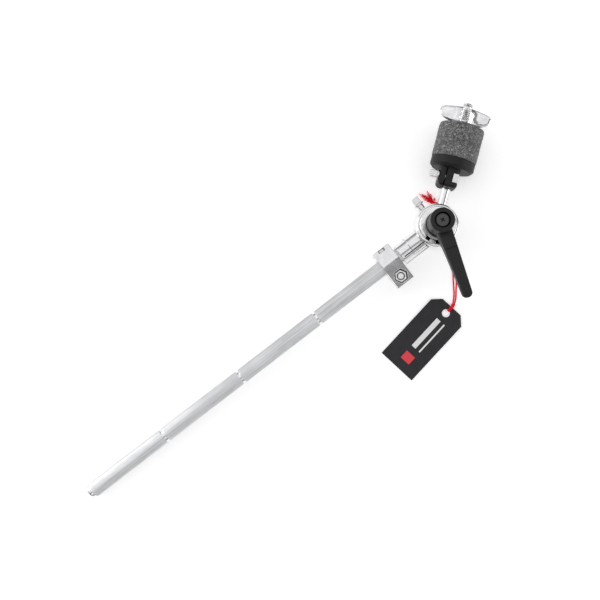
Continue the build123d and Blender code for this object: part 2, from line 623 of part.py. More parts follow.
with BuildPart() as wing_nut:
    with BuildSketch(SEAT_PLAN):
        with BuildLine():
            Polyline(
                (0, WING_NUT_AT + 0.3),
                (WING_SPAN / 2, WING_NUT_AT + 0.9),
                (WING_SPAN - 2.3, WING_NUT_AT + 3.4),
                (WING_SPAN, WING_NUT_AT + 8.4),
                (WING_SPAN - 2.5, WING_NUT_AT + 12.2),
                (WING_SPAN / 2 - 1, WING_NUT_AT + 14.6),
                (0, WING_NUT_AT + WING_NUT_HEIGHT + 0.4),
                close=True,
            )
        make_face()
        mirror(about=Plane.YZ)
    extrude(amount=WING_THICKNESS / 2, both=True)
    fillet(wing_nut.edges().filter_by(Axis.Z).sort_by(SEAT_AXIS)[1:-1], 2.6)
    fillet(wing_nut.faces().sort_by(Axis.Z)[-1].edges(), 0.9)
    fillet(wing_nut.faces().sort_by(Axis.Z)[0].edges(), 0.9)
    with BuildSketch(spoke(TILT, WING_NUT_AT)):
        Circle(WING_BOSS_R)
    extrude(amount=WING_NUT_HEIGHT, taper=3)
    with BuildSketch(spoke(TILT, WING_NUT_AT)):
        Circle(TILT_ROD_R + SCREW_PLAY)
    extrude(amount=WING_NUT_HEIGHT + 2, mode=Mode.SUBTRACT)

# ------------------------------------------------- tag, cord, knot and tuft
TAG_PITCH = Location((*TAG_CENTRE, TAG_RAISED / 2), (0, 0, TAG_TURN)) * Location(
    (0, 0, 0), (0, -degrees(atan(TAG_RAISED / TAG_LENGTH)), 0)
)
with BuildPart() as tag:
    with BuildSketch(Plane(TAG_PITCH)) as card:
        Rectangle(TAG_LENGTH, TAG_WIDTH)
        chamfer(card.vertices().group_by(Axis.X)[-1], TAG_CHAMFER)
        with Locations((TAG_LENGTH / 2 - TAG_HOLE_INSET, 0)):
            Circle(TAG_HOLE_R, mode=Mode.SUBTRACT)
    extrude(amount=TAG_THICKNESS)

tag_cord_right = cord_strand(RIGHT_STRAND)
tag_cord_left = cord_strand(LEFT_STRAND)

tag_east, tag_north = cos(radians(TAG_TURN)), sin(radians(TAG_TURN))
HITCH_SIDE = Plane(
    origin=(*TAG_CENTRE, 0), x_dir=(tag_east, tag_north, 0), z_dir=(tag_north, -tag_east, 0)
)
hitch_start = TAG_LENGTH / 2 - TAG_HOLE_INSET + TAG_HOLE_R - 1.7
bar_start = TAG_LENGTH / 2 - TAG_HOLE_INSET + TAG_HOLE_R - 0.4
hitch_top = TAG_RAISED + TAG_THICKNESS + 2 * CORD_R
with BuildPart() as cord_hitch:
    with BuildSketch(HITCH_SIDE):
        with Locations(((hitch_start + TAG_LENGTH / 2 + HITCH_END) / 2, hitch_top / 2)):
            RectangleRounded(TAG_LENGTH / 2 + HITCH_END - hitch_start, hitch_top, 0.9)
        with Locations(((bar_start + TAG_LENGTH / 2 + 0.1) / 2, TAG_RAISED + TAG_THICKNESS / 2)):
            Rectangle(
                TAG_LENGTH / 2 + 0.1 - bar_start, TAG_THICKNESS + 0.3, mode=Mode.SUBTRACT
            )
    extrude(amount=HITCH_WIDTH / 2, both=True)

with BuildPart() as cord_knot:
    with BuildSketch(Plane.XZ.offset(-KNOT_AT[1])):
        with Locations((KNOT_AT[0], KNOT_R)):
            Circle(KNOT_R)
            Rectangle(2 * KNOT_R, 2 * KNOT_R, align=(Align.MAX, Align.CENTER), mode=Mode.SUBTRACT)
    revolve(axis=Axis((*KNOT_AT, 0), (0, 0, 1)))

with BuildPart() as cord_tuft:
    with BuildSketch():
        Polygon(*TUFT_OUTLINE, align=None)
    extrude(amount=TUFT_HEIGHT)
    with BuildSketch():
        with Locations(KNOT_AT):
            Circle(KNOT_R)
    extrude(amount=2 * KNOT_R, mode=Mode.SUBTRACT)

# ------------------------------------------------------------------- lying
ARM = {
    "boom_rod": boom_rod,
    "socket_pin": socket_pin,
    "memory_lock_front": memory_lock_front,
    "memory_lock_back": memory_lock_back,
    "memory_lock_pin": memory_lock_pin,
    "memory_lock_nut": memory_lock_nut,
    "memory_lock_bolt": memory_lock_bolt,
    "tilter_body": tilter_body,
    "brake_disc": brake_disc,
    "brake_ring": brake_ring,
    "tilter_rotor": tilter_rotor,
    "tilter_rod": tilter_rod,
    "pivot_bolt": pivot_bolt,
    "thrust_washer": thrust_washer,
    "tilter_key_bolt": tilter_key_bolt,
    "lever_insert": lever_insert,
    "lever_screw": lever_screw,
    "lever_spring": lever_spring,
    "lever_handle": lever_handle,
    "cymbal_seat": cymbal_seat,
    "seat_key_bolt": seat_key_bolt,
    "seat_nut": seat_nut,
    "lower_felt": lower_felt,
    "upper_felt": upper_felt,
    "nut_washer": nut_washer,
    "wing_nut": wing_nut,
}
LEAN = Location((0, 0, 0), (0, -degrees(atan(SLOPE)), 0))
arm_box = Compound(children=[piece.part.moved(LEAN) for piece in ARM.values()]).bounding_box()
FOOT = Vector(arm_box.center().X, arm_box.center().Y, arm_box.min.Z)
LYING = Location(-FOOT) * LEAN

HANG_TAG = {
    "tag": tag,
    "tag_cord_right": tag_cord_right,
    "tag_cord_left": tag_cord_left,
    "cord_hitch": cord_hitch,
    "cord_knot": cord_knot,
    "cord_tuft": cord_tuft,
}

os.makedirs("parts", exist_ok=True)
for name, piece in ARM.items():
    laid = piece.part.moved(LYING)
    laid.label = name
    export_step(laid, f"parts/{name}.step")
for name, piece in HANG_TAG.items():
    piece.part.label = name
    export_step(piece.part, f"parts/{name}.step")
print("pivot on the floor plane:", LYING.position, "lean", degrees(atan(SLOPE)))
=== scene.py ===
"""Looks of the cymbal boom arm: camera, cord, felts, knurled rod, wing nut, finishes, light."""

import json
import math
import random

import bmesh
import bpy
from mathutils import Matrix, Vector, noise


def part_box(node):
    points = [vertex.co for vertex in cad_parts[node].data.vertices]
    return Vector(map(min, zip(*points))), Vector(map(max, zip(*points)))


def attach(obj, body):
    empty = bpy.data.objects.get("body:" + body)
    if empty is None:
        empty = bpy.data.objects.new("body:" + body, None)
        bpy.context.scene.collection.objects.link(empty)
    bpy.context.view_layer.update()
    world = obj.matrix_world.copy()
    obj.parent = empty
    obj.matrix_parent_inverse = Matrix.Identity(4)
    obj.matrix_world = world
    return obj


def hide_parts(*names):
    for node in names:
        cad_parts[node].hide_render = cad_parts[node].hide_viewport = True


MM = 0.001
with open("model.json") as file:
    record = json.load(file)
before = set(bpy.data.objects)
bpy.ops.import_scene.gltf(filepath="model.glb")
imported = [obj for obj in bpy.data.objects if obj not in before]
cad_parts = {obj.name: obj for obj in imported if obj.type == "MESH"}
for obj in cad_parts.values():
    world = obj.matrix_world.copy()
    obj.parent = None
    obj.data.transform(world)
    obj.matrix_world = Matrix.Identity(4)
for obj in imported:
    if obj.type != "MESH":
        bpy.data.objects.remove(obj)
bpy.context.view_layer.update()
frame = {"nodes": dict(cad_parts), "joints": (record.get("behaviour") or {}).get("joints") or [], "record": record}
scene = bpy.context.scene
nodes = frame["nodes"]
joints = {joint["name"]: joint for joint in frame["joints"]}

# ------------------------------------------------- the arm's own directions
PIVOT = Vector(joints["tilt"]["pos_m"])
UP = Vector(joints["tilt"]["axis"])
BOOM = Vector(joints["memory_lock_slide"]["axis"])
SEAT = Vector(joints["seat_slide"]["axis"])
ALONG_BOOM = Matrix((BOOM, UP.cross(BOOM), UP)).transposed()
ALONG_SEAT = Matrix((UP.cross(SEAT), UP, SEAT)).transposed()
ALONG_SEAT.col[1] = SEAT.cross(ALONG_SEAT.col[0])


def on_arm(x, y, z):
    """Point in metres from millimetres along the boom, to its left and up from the pivot."""
    return PIVOT + ALONG_BOOM @ Vector((x, y, z)) * MM


def on_seat(x, y, h):
    """Point in metres from millimetres left of, above and along the tilter rod."""
    return PIVOT + ALONG_SEAT @ Vector((x, y, h)) * MM


# ------------------------------------------------------------------- camera
CAMERA_AT = (-0.009378, -0.027363, 0.75581)
CAMERA_RIGHT = (0.79368, -0.60855, -0.01248)
CAMERA_BACK = (-0.02628, -0.05477, 0.99815)
CAMERA_LENS = 52.4


def add_camera():
    """Camera above the arm, at the photograph's angle."""
    data = bpy.data.cameras.new("camera")
    data.lens = CAMERA_LENS
    data.sensor_width = 36.0
    data.clip_start = 0.01
    camera = bpy.data.objects.new("camera", data)
    scene.collection.objects.link(camera)
    right = Vector(CAMERA_RIGHT).normalized()
    back = Vector(CAMERA_BACK)
    back = (back - right * back.dot(right)).normalized()
    turn = Matrix((right, back.cross(right), back)).transposed()
    camera.matrix_world = Matrix.Translation(CAMERA_AT) @ turn.to_4x4()
    scene.camera = camera


add_camera()


# ------------------------------------------------------------ mesh helpers
def finish_mesh(name, bm, materials, smooth=True):
    """New object from a bmesh, with outward normals."""
    bmesh.ops.recalc_face_normals(bm, faces=bm.faces)
    mesh = bpy.data.meshes.new(name)
    bm.to_mesh(mesh)
    bm.free()
    for material in materials:
        mesh.materials.append(material)
    for polygon in mesh.polygons:
        polygon.use_smooth = smooth
    made = bpy.data.objects.new(name, mesh)
    scene.collection.objects.link(made)
    return made


def add_tube(bm, path, radius, sides=8, taper=1.0, closed=False):
    """Round tube along a list of points with capped ends; taper is the far end's share."""
    rings = []
    count = len(path)
    normal = None
    for i, point in enumerate(path):
        before = path[i - 1] if i or closed else point
        after = path[(i + 1) % count] if i + 1 < count or closed else point
        tangent = (after - before).normalized()
        if normal is None:
            normal = tangent.orthogonal().normalized()
        normal = (normal - tangent * normal.dot(tangent)).normalized()
        side = tangent.cross(normal)
        r = radius * (1 + (taper - 1) * i / max(count - 1, 1))
        rings.append([
            bm.verts.new(point + normal * r * math.cos(a) + side * r * math.sin(a))
            for a in (2 * math.pi * k / sides for k in range(sides))
        ])
    pairs = list(zip(rings, rings[1:]))
    if closed:
        pairs.append((rings[-1], rings[0]))
    for ring, following in pairs:
        for k in range(sides):
            bm.faces.new((ring[k], ring[k - 1], following[k - 1], following[k]))
    if not closed:
        bm.faces.new(rings[0])
        bm.faces.new(reversed(rings[-1]))


def smooth_path(points, steps=8):
    """Catmull-Rom points through the given ones."""
    ends = [points[0] * 2 - points[1], *points, points[-1] * 2 - points[-2]]
    path = []
    for a, b, c, d in zip(ends, ends[1:], ends[2:], ends[3:]):
        for k in range(steps):
            t = k / steps
            path.append(
                ((b * 2) + (c - a) * t + (a * 2 - b * 5 + c * 4 - d) * t**2
                 + (b * 3 - a - c * 3 + d) * t**3) / 2
            )
    return path + [points[-1]]


def add_lathe(bm, outline, place, segments=96, wobble=None):
    """Ring turned from a closed outline of (r, h); wobble(point, r, h) moves each vertex."""
    rings = []
    for k in range(segments):
        a = 2 * math.pi * k / segments
        ring = []
        for r, h in outline:
            point = Vector((r * math.cos(a), r * math.sin(a), h))
            if wobble:
                point = wobble(point, r, h)
            ring.append(bm.verts.new(place(*point)))
        rings.append(ring)
    for k in range(segments):
        here, there = rings[k - 1], rings[k]
        for i in range(len(outline)):
            bm.faces.new((here[i - 1], here[i], there[i], there[i - 1]))


# --------------------------------------------------- how the hang tag lies
TAG_CENTRE = (76.05, -76.35)
TAG_TURN = math.radians(9.6)


# -------------------------------------------------------- material helpers
class Finish:
    """A material under construction: a Principled surface and short calls for its nodes."""

    def __init__(self, name, colour, roughness, metallic=0.0, **fixed):
        self.material = bpy.data.materials.new(name)
        self.material.use_nodes = True
        self.tree = self.material.node_tree
        self.surface = self.tree.nodes["Principled BSDF"]
        self.surface.inputs["Base Color"].default_value = (*colour, 1)
        self.surface.inputs["Roughness"].default_value = roughness
        self.surface.inputs["Metallic"].default_value = metallic
        for socket, value in fixed.items():
            self.surface.inputs[socket.replace("_", " ")].default_value = value
        self.position = self.node("TexCoord").outputs["Object"]

    def node(self, kind, **inputs):
        """New node; inputs are values or other nodes' outputs, by socket name or number."""
        made = self.tree.nodes.new("ShaderNode" + kind)
        for socket, value in inputs.items():
            key = int(socket[1:]) if socket[0] == "i" and socket[1:].isdigit() else socket
            self.join(made.inputs[key], value)
        return made

    def join(self, socket, value):
        """Link another node's output to the socket, or set the socket's own value."""
        if isinstance(value, bpy.types.NodeSocket):
            self.tree.links.new(value, socket)
        else:
            socket.default_value = value

    def math(self, operation, a, b=0.0):
        made = self.node("Math", i0=a, i1=b)
        made.operation = operation
        return made.outputs[0]

    def local(self, turn, stretch=(1, 1, 1)):
        """Position in millimetres in a frame that is turned and centred on the pivot."""
        made = self.node("Mapping", Vector=self.position, Location=PIVOT,
                         Rotation=turn.to_euler(), Scale=[MM / s for s in stretch])
        made.vector_type = "TEXTURE"
        return made.outputs[0]

    def noise(self, vector, scale, detail=3.0, rough=0.55):
        """Noise from 0 to 1 over the vector."""
        return self.node("TexNoise", Vector=vector, Scale=scale, Detail=detail,
                         Roughness=rough).outputs["Fac"]

    def spread(self, value, low, high, out_low, out_high):
        """Value from low..high stretched to out_low..out_high."""
        return self.node("MapRange", i0=value, i1=low, i2=high, i3=out_low, i4=out_high).outputs[0]

    def colours(self, value, *stops):
        """Colour by value through stops of (position, colour)."""
        ramp = self.node("ValToRGB", Fac=value)
        elements = ramp.color_ramp.elements
        while len(elements) < len(stops):
            elements.new(0.5)
        for element, (at, colour) in zip(elements, stops):
            element.position = at
            element.color = (*colour, 1)
        return ramp.outputs[0]

    def paint_crevice_shade(self, colour, reach=0.0022, floor=0.12):
        """Base colour with painted shade: darkened by ambient occlusion in narrow gaps and inner corners."""
        open_share = self.node("AmbientOcclusion", Distance=reach)
        open_share.samples = 6
        shade = self.spread(open_share.outputs["AO"], 0.25, 0.80, floor, 1.0)
        shaded = self.node("VectorMath", i0=colour, i1=shade)
        shaded.operation = "MULTIPLY"
        self.set(Base_Color=shaded.outputs[0])

    def set(self, **links):
        """Join values or outputs to the surface's sockets."""
        for socket, value in links.items():
            self.join(self.surface.inputs[socket.replace("_", " ")], value)
        return self

    def relief(self, *layers, edge=0.0):
        """Bump from (height, depth in metres) layers over edges rounded by the given radius."""
        normal = None
        if edge:
            bevel = self.node("Bevel", Radius=edge)
            bevel.samples = 4
            normal = bevel.outputs[0]
        for height, depth in layers:
            bump = self.node("Bump", Height=height, Distance=depth, Strength=1.0)
            if normal is not None:
                self.tree.links.new(normal, bump.inputs["Normal"])
            normal = bump.outputs[0]
        return self.set(Normal=normal)


def grey(value):
    """Neutral colour, very slightly cool."""
    return (value, value, value * 1.01)


def make_chrome(name, level, roughness, edge):
    """Bright plating: slow waves, faint polishing marks, a little haze, rounded edges and painted shade in gaps
    and corners.
    """
    f = Finish(name, grey(level), roughness, 1.0)
    position = f.local(ALONG_BOOM)
    haze = f.noise(position, 0.22, 4)
    marks = f.noise(f.local(ALONG_BOOM, (0.12, 1, 1)), 2.4, 3)
    f.set(Roughness=f.spread(f.math("ADD", haze, f.math("MULTIPLY", marks, 0.4)),
                             0.35, 1.1, roughness * 0.7, roughness * 1.9))
    # painted shade: the base colour darkens in narrow gaps and inner corners
    f.paint_crevice_shade(f.colours(haze, (0.3, grey(level * 0.95)), (0.7, grey(level * 1.03))))
    f.relief((f.noise(position, 0.10, 2), 0.00022), (marks, 0.000006), edge=edge)
    return f.material


def make_knurl_steel():
    """Satin plated steel with long drawn streaks."""
    f = Finish("knurled_steel", grey(0.66), 0.33, 1.0)
    streaks = f.noise(f.local(ALONG_BOOM, (0.010, 1, 1)), 1.5, 4)
    clouds = f.noise(f.local(ALONG_BOOM, (0.25, 1, 1)), 0.16, 3)
    grain = f.noise(f.local(ALONG_BOOM, (0.3, 1, 1)), 6.0, 2)
    f.set(Base_Color=f.colours(f.math("ADD", f.math("MULTIPLY", streaks, 0.7),
                                      f.math("MULTIPLY", clouds, 0.3)),
                               (0.34, (0.54, 0.55, 0.56)), (0.66, (0.90, 0.905, 0.915))))
    f.set(Roughness=f.spread(clouds, 0.3, 0.7, 0.28, 0.38))
    f.relief((streaks, 0.00006), (grain, 0.00001))
    return f.material


def make_thread_rod():
    """Plated rod whose upper end has an M8 thread."""
    thread_pitch, thread_from = 1.25, 84.0
    f = Finish("chrome_rod", grey(0.78), 0.10, 1.0)
    position = f.local(ALONG_SEAT)
    split = f.node("SeparateXYZ", Vector=position)
    around = f.math("DIVIDE", f.math("ARCTAN2", split.outputs[1], split.outputs[0]), 2 * math.pi)
    turns = f.math("ADD", f.math("DIVIDE", split.outputs[2], thread_pitch), around)
    ridge = f.math("PINGPONG", turns, 0.5)
    threaded = f.spread(split.outputs[2], thread_from, thread_from + 1, 0.0, 1.0)
    marks = f.noise(f.local(ALONG_SEAT, (1, 1, 0.05)), 3.0, 3)
    f.set(Roughness=f.spread(marks, 0.3, 0.7, 0.07, 0.18))
    f.relief((f.math("MULTIPLY", ridge, threaded), 0.0012), (marks, 0.000012))
    return f.material


def make_dark_steel():
    """Oiled dark steel with faint spots."""
    f = Finish("dark_steel", grey(0.10), 0.38, 1.0)
    position = f.local(ALONG_BOOM)
    spots = f.noise(position, 0.5, 4)
    f.set(Base_Color=f.colours(spots, (0.35, grey(0.07)), (0.7, (0.17, 0.165, 0.155))))
    f.set(Roughness=f.spread(spots, 0.3, 0.7, 0.28, 0.5))
    f.relief((f.noise(position, 2.5, 3), 0.00003), edge=0.00025)
    return f.material


def make_black_lever():
    """Black satin coat: orange peel, dust in the grain, rounded edges."""
    f = Finish("black_casting", grey(0.010), 0.42, Specular_IOR_Level=0.3)
    position = f.local(ALONG_BOOM)
    peel = f.noise(position, 1.6, 3)
    dust = f.noise(position, 0.35, 5, 0.65)
    f.set(Base_Color=f.colours(dust, (0.30, (0.007, 0.007, 0.008)), (0.75, (0.016, 0.016, 0.017))))
    f.set(Roughness=f.spread(dust, 0.3, 0.7, 0.36, 0.54))
    f.relief((peel, 0.00005), (f.noise(position, 6.0, 2), 0.00001), edge=0.0005)
    return f.material


def make_screw_grey():
    """Grey zinc screw head with the rings of its turning and painted shade in gaps and corners."""
    f = Finish("zinc_screw", grey(0.085), 0.45, 0.6)
    split = f.node("SeparateXYZ", Vector=f.local(ALONG_BOOM))
    reach = f.math("SQRT", f.math("ADD", f.math("POWER", split.outputs[0], 2.0),
                                  f.math("POWER", split.outputs[1], 2.0)))
    turned = f.math("PINGPONG", reach, 0.16)
    f.set(Roughness=f.spread(f.noise(f.local(ALONG_BOOM), 1.2, 3), 0.3, 0.7, 0.34, 0.5))
    # painted shade: the base colour darkens in narrow gaps and inner corners
    f.paint_crevice_shade(f.colours(turned, (0.2, grey(0.075)), (0.8, grey(0.095))), 0.002, 0.05)
    f.relief((turned, 0.00005), edge=0.0003)
    return f.material


def make_nylon():
    """Charcoal moulded plastic with a fine spark-eroded grain."""
    f = Finish("dark_nylon", grey(0.010), 0.5, Specular_IOR_Level=0.28)
    position = f.local(ALONG_SEAT)
    mottle = f.noise(position, 0.3, 4)
    f.set(Base_Color=f.colours(mottle, (0.3, (0.006, 0.006, 0.007)), (0.75, (0.015, 0.015, 0.016))))
    f.set(Roughness=f.spread(mottle, 0.3, 0.7, 0.42, 0.58))
    f.relief((f.noise(position, 3.2, 3), 0.00006), (mottle, 0.00015), edge=0.0005)
    return f.material


def make_felt():
    """Pressed grey wool: light and dark tufts of hair in a matted ground."""
    f = Finish("grey_felt", grey(0.15), 0.95, Sheen_Weight=0.2, Sheen_Roughness=0.5)
    position = f.local(ALONG_SEAT)
    drift = f.node("TexNoise", Vector=position, Scale=0.45, Detail=2.0).outputs["Color"]
    swirl = f.node("VectorMath", i0=drift, i1=(2.4, 2.4, 2.4), i2=position)
    swirl.operation = "MULTIPLY_ADD"
    matted = swirl.outputs[0]
    clumps = f.noise(matted, 0.42, 4, 0.65)
    fleck = f.noise(matted, 1.25, 3, 0.6)
    fine = f.noise(matted, 2.4, 3, 0.6)
    mixed = f.math("ADD", f.math("MULTIPLY", clumps, 0.30),
                   f.math("ADD", f.math("MULTIPLY", fleck, 0.50), f.math("MULTIPLY", fine, 0.20)))
    f.set(Base_Color=f.colours(mixed, (0.38, (0.012, 0.012, 0.013)), (0.46, (0.080, 0.080, 0.082)),
                               (0.53, (0.20, 0.20, 0.203)), (0.62, (0.66, 0.65, 0.66))))
    f.relief((clumps, 0.0012), (fleck, 0.0009), (fine, 0.0004))
    return f.material


def make_hair():
    """Loose hairs of the felt, from dark to light."""
    f = Finish("felt_hair", grey(0.22), 0.9, Sheen_Weight=0.3)
    f.set(Base_Color=f.colours(f.noise(f.local(ALONG_SEAT), 0.9, 2),
                               (0.35, grey(0.07)), (0.65, grey(0.34))))
    return f.material


def make_cord_red():
    """Waxed red yarn, its red darker and lighter in random patches."""
    f = Finish("red_cord", (0.72, 0.008, 0.025), 0.6, Specular_IOR_Level=0.15)
    position = f.local(ALONG_BOOM)
    f.set(Base_Color=f.colours(f.noise(position, 1.1, 3), (0.3, (0.70, 0.006, 0.022)),
                               (0.7, (0.95, 0.012, 0.040))))
    f.relief((f.noise(position, 5.0, 3), 0.00012))
    return f.material


def make_card():
    """Charcoal card with a faint grain and a plain print: two pale bars and a red square."""
    wide_bar, thin_bar, square = (-12, 20, -1, 3.4), (-12, 20, -6, -4.6), (-26, -18, -6, 3.4)
    f = Finish("tag_card", (0.024, 0.023, 0.026), 0.62, Specular_IOR_Level=0.3)
    low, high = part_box("tag")
    middle = (low + high) / 2
    place = f.node("Mapping", Vector=f.position, Location=middle,
                   Rotation=(0, 0, TAG_TURN), Scale=(MM, MM, MM))
    place.vector_type = "TEXTURE"
    split = f.node("SeparateXYZ", Vector=place.outputs[0])
    along, across = split.outputs[0], split.outputs[1]
    face = f.node("SeparateXYZ", Vector=f.node("NewGeometry").outputs["Normal"])
    upper = f.math("GREATER_THAN", face.outputs[2], 0.9)

    def bar(x0, x1, y0, y1):
        """1 inside a rectangle of the upper face, and 0 outside it."""
        wide = f.math("COMPARE", along, (x0 + x1) / 2)
        wide.node.inputs[2].default_value = (x1 - x0) / 2
        tall = f.math("COMPARE", across, (y0 + y1) / 2)
        tall.node.inputs[2].default_value = (y1 - y0) / 2
        return f.math("MULTIPLY", f.math("MULTIPLY", wide, tall), upper)

    white = f.math("MAXIMUM", bar(*wide_bar), bar(*thin_bar))
    red = bar(*square)
    grain = f.noise(place.outputs[0], 1.4, 4, 0.65)
    mottle = f.noise(place.outputs[0], 0.12, 3)
    ground = f.colours(f.math("ADD", f.math("MULTIPLY", grain, 0.5),
                              f.math("MULTIPLY", mottle, 0.5)),
                       (0.35, (0.018, 0.0175, 0.020)), (0.68, (0.031, 0.030, 0.033)))
    barred = f.node("MixRGB", Fac=white, Color1=ground, Color2=(0.80, 0.80, 0.80, 1))
    printed = f.node("MixRGB", Fac=red, Color1=barred.outputs[0], Color2=(0.72, 0.06, 0.075, 1))
    f.set(Base_Color=printed.outputs[0], Roughness=f.spread(grain, 0.3, 0.7, 0.52, 0.72))
    f.relief((grain, 0.00005), edge=0.0002)
    return f.material


def make_brake():
    """Pressed brown brake fibre."""
    f = Finish("brake_fibre", (0.07, 0.045, 0.03), 0.8)
    position = f.local(ALONG_BOOM)
    flecks = f.noise(position, 1.5, 4)
    f.set(Base_Color=f.colours(flecks, (0.35, (0.05, 0.032, 0.02)), (0.75, (0.16, 0.12, 0.08))))
    f.relief((flecks, 0.0001))
    return f.material


def make_wing_chrome():
    """Plated wing nut: soft waves on the wings, turned rings on its hub and painted shade in gaps and corners."""
    hub_inner, hub_outer, ring_step = 2.6, 3.6, 0.8
    f = Finish("wing_chrome", grey(0.84), 0.09, 1.0)
    position = f.local(ALONG_SEAT)
    split = f.node("SeparateXYZ", Vector=position)
    hub = f.spread(f.math("ABSOLUTE", split.outputs[0]), hub_inner, hub_outer, 1.0, 0.0)
    rings = f.math("PINGPONG", split.outputs[2], ring_step)
    haze = f.noise(position, 0.22, 4)
    # painted shade: the base colour darkens in narrow gaps and inner corners
    f.paint_crevice_shade(f.colours(haze, (0.3, grey(0.76)), (0.7, grey(0.88))))
    f.set(Roughness=f.spread(haze, 0.35, 0.7, 0.06, 0.15))
    f.relief((f.noise(position, 0.12, 2), 0.0004), (f.math("MULTIPLY", rings, hub), 0.0007),
             edge=0.0006)
    return f.material


def make_notched_ring():
    """Bright brake ring with painted shade: the floors of its notches are coloured near black."""
    notch_floor = 12.3
    f = Finish("notched_ring", grey(0.80), 0.16, 1.0)
    position = f.local(ALONG_BOOM)
    height = f.node("SeparateXYZ", Vector=position).outputs[2]
    raised = f.spread(height, notch_floor, notch_floor + 0.2, 0.0, 1.0)
    # painted shade: below the notch floor height the colour is near black
    f.set(Base_Color=f.colours(raised, (0.1, grey(0.015)), (0.9, grey(0.80))))
    f.set(Roughness=f.spread(f.noise(position, 1.2, 3), 0.3, 0.7, 0.12, 0.3))
    f.relief((f.noise(position, 2.0, 3), 0.00004), edge=0.0003)
    return f.material


FINISHES = {
    "knurled_steel": make_knurl_steel(),
    "polished_steel": make_chrome("polished_steel", 0.86, 0.07, 0.0),
    "chrome_casting": make_chrome("chrome_casting", 0.84, 0.13, 0.0009),
    "chrome_screw": make_chrome("chrome_screw", 0.76, 0.15, 0.0005),
    "chrome_rod": make_thread_rod(),
    "dark_steel": make_dark_steel(),
    "black_casting": make_black_lever(),
    "zinc_screw": make_screw_grey(),
    "dark_nylon": make_nylon(),
    "grey_felt": make_felt(),
    "felt_hair": make_hair(),
    "red_cord": make_cord_red(),
    "tag_card": make_card(),
    "brake_fibre": make_brake(),
}
for part in frame["record"]["subparts"]:
    piece = nodes[part["node"]]
    piece.data.materials.clear()
    piece.data.materials.append(FINISHES[part["material_slot"]])
nodes["brake_ring"].data.materials[0] = make_notched_ring()

# ------------------------------------------------------- cord with its pieces
CORD_R = 0.65
CORD_Z = 0.65
RIGHT_STRAND = [
    (150.8, 4.5), (151.8, -7.8), (147.9, -24.3), (139.7, -39.8), (129.8, -53.3),
    (122.2, -62.1), (118.6, -66.6), (115.5, -69.1), (112.9, -70.9),
]
LEFT_STRAND = [
    (149.1, 5.8), (150.1, -7.3), (146.0, -23.1), (137.2, -37.3), (130.5, -47.3),
    (125.3, -54.3), (120.9, -60.9), (117.4, -65.3), (114.6, -67.8), (112.8, -69.3),
]
CORD_LAY = 4.2              # length of one turn of the yarns
CORD_STEP = 0.45


def route_line(name, route):
    """Points along the smooth line that has the route's points as its control points."""
    data = bpy.data.curves.new(name, "CURVE")
    data.dimensions = "3D"
    data.resolution_u = 24
    spline = data.splines.new("NURBS")
    spline.points.add(len(route) - 1)
    for point, (x, y) in zip(spline.points, route):
        point.co = (x * MM, y * MM, CORD_Z * MM, 1)
    spline.order_u = 3
    spline.use_endpoint_u = True
    guide = bpy.data.objects.new(name, data)
    scene.collection.objects.link(guide)
    bpy.context.view_layer.update()
    evaluated = guide.evaluated_get(bpy.context.evaluated_depsgraph_get())
    mesh = bpy.data.meshes.new_from_object(evaluated)
    points = [vertex.co.copy() for vertex in mesh.vertices]
    bpy.data.meshes.remove(mesh)
    bpy.data.objects.remove(guide)
    bpy.data.curves.remove(data)
    return points


def evenly(points, step):
    """The same line with a point every step metres."""
    path, carried = [points[0]], 0.0
    for a, b in zip(points, points[1:]):
        run = (b - a).length
        while run and carried + run >= step:
            a = a.lerp(b, (step - carried) / run)
            path.append(a)
            run = (b - a).length
            carried = 0.0
        carried += run
    return path + [points[-1]]


def yarns(bm, path, radius, pitch, count=3):
    """Rope of a few yarns twisted round the path."""
    length = 0.0
    lines = [[] for _ in range(count)]
    for i, point in enumerate(path):
        if i:
            length += (point - path[i - 1]).length
        tangent = (path[min(i + 1, len(path) - 1)] - path[max(i - 1, 0)]).normalized()
        side = tangent.cross(Vector((0, 0, 1))).normalized()
        rise = side.cross(tangent)
        for k in range(count):
            a = 2 * math.pi * (length / pitch + k / count)
            lines[k].append(point + (side * math.cos(a) + rise * math.sin(a)) * radius * 0.54)
    for line in lines:
        add_tube(bm, line, radius * 0.56, 8)


def add_strand(name, route):
    """One strand of the cord, with its path and the path's length."""
    path = evenly(route_line(name + "_line", route), CORD_STEP * MM)
    bm = bmesh.new()
    yarns(bm, path, CORD_R * MM, CORD_LAY * MM)
    strand = finish_mesh(name, bm, [FINISHES["red_cord"]])
    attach(strand, "boom_arm")
    length = sum((b - a).length for a, b in zip(path, path[1:]))
    return strand, path, length


def add_hitch():
    """Loop through the tag's hole: two legs over the edge, under it, and a turn across them."""
    low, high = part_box("cord_hitch")
    centre = Vector((*TAG_CENTRE, 0)) * MM
    turn = Matrix.Rotation(TAG_TURN, 3, "Z")
    top = high.z - CORD_R * MM
    under = low.z + CORD_R * MM
    bm = bmesh.new()
    for side in (-0.68, 0.68):
        leg = [(38.0, side, CORD_Z + 0.1), (37.2, side, 1.6), (35.9, side * 1.02, top / MM),
               (33.4, side, top / MM), (31.5, side * 0.9, top / MM - 0.25),
               (30.6, side * 0.85, 1.75), (31.5, side * 0.8, under / MM + 0.02),
               (33.2, side * 0.8, under / MM), (35.2, side, under / MM)]
        points = [centre + turn @ (Vector(p) * MM) for p in leg]
        add_tube(bm, smooth_path(points), CORD_R * MM * 0.98, 10)
    wrap = [(36.4, -1.3, 1.0), (36.3, -1.25, 2.3), (36.2, 0.0, 2.68), (36.3, 1.25, 2.3),
            (36.4, 1.3, 1.0), (36.5, 0.0, 0.66)]
    points = [centre + turn @ (Vector(p) * MM) for p in wrap]
    ring = smooth_path([*points, points[0]])[:-1]
    add_tube(bm, ring, CORD_R * MM * 0.9, 10, closed=True)
    hitch = finish_mesh("hitch_loop", bm, [FINISHES["red_cord"]])
    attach(hitch, "boom_arm")
    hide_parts("cord_hitch")
    return hitch


